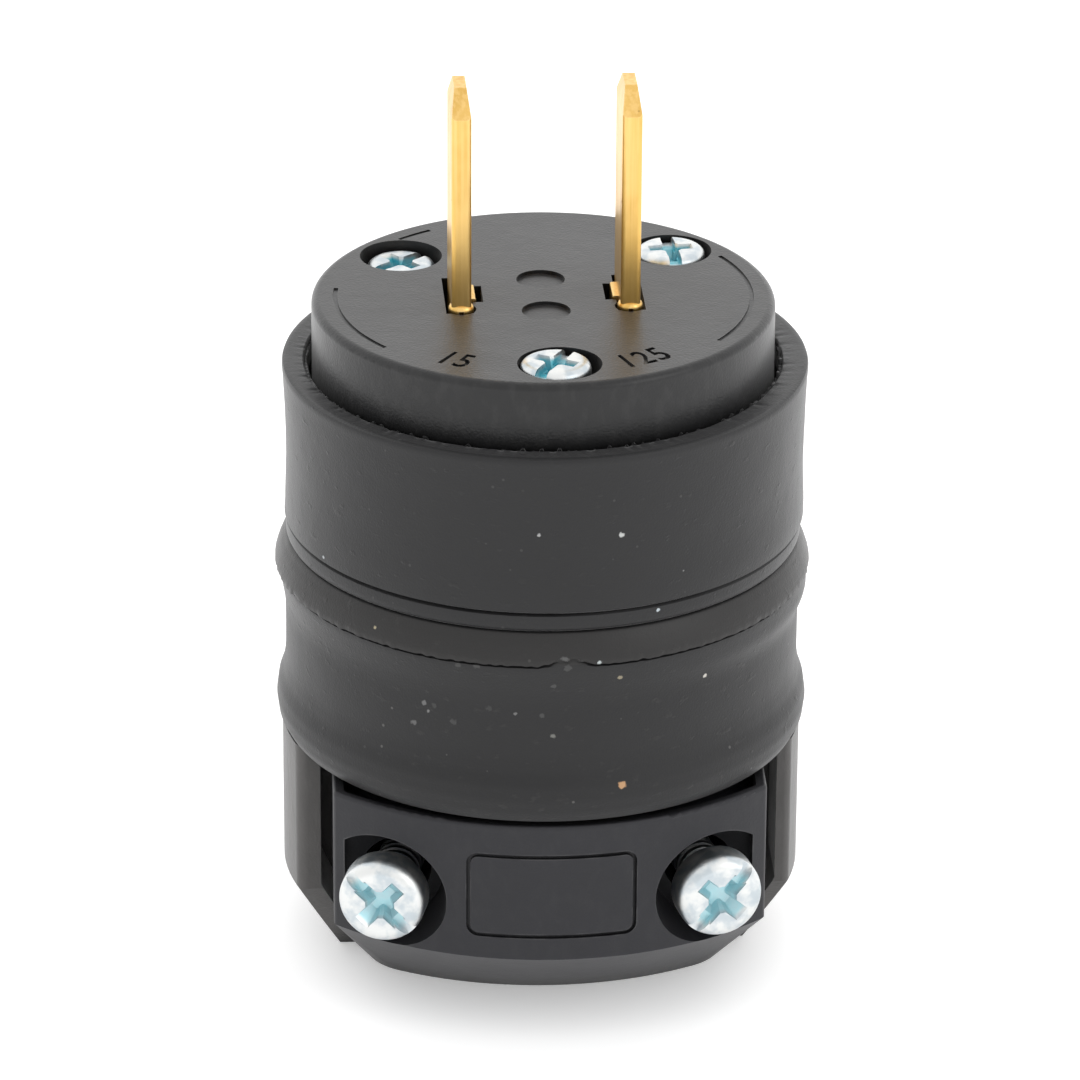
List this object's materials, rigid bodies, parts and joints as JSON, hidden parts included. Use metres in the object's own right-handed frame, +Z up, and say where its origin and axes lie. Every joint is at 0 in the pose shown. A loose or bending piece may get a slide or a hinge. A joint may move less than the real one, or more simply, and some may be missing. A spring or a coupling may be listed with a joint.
{
  "type": "type a plug",
  "caption": "Rewireable two-pole plug with flat blades, a round face, a rubber sleeve and a screw-down cord clamp, standing on its cord end.",
  "frame": {"origin": "middle of the footprint, on the surface that the plug stands on with its cord end down", "axes": "+Z up along the plug to the blade tips, +X across the blades from the left one to the right one, -Y towards the side with the cord clamp's screws"},
  "size_m": [0.041, 0.041, 0.0702],
  "materials": {
    "face_black": "fine matt grain, worn a little grey on its edge",
    "body_black": "satin, with pale rubbed edges",
    "rubber_black": "dull, dusted with a few pale specks",
    "carrier_brown": "pressed resin",
    "blade_brass": "rolled, with fine lengthwise lines",
    "terminal_brass": "plain turned",
    "bright_zinc": "bright zinc plate, faintly blue in its recesses"
  },
  "bodies": {
    "plug": {"housing": "body_black", "sleeve": "rubber_black", "face_plate": "face_black", "terminal_carrier": "carrier_brown", "blade_left": "blade_brass", "blade_right": "blade_brass", "wire_plate_left": "terminal_brass", "wire_plate_right": "terminal_brass", "terminal_screw_left": "terminal_brass", "terminal_screw_right": "terminal_brass", "clamp_screw_left": "bright_zinc", "clamp_screw_right": "bright_zinc", "clamp_nut_left": "bright_zinc", "clamp_nut_right": "bright_zinc", "face_screw_front": "bright_zinc", "face_screw_left": "bright_zinc", "face_screw_right": "bright_zinc"},
    "clamp_half": {"cord_clamp": "body_black"}
  },
  "joints": [
    {"name": "clamp_slide", "type": "slide", "parent": "plug", "child": "clamp_half", "axis": [0.0227, 0.9997, 0], "range_m": [-0.001, 0.0026]}
  ]
}
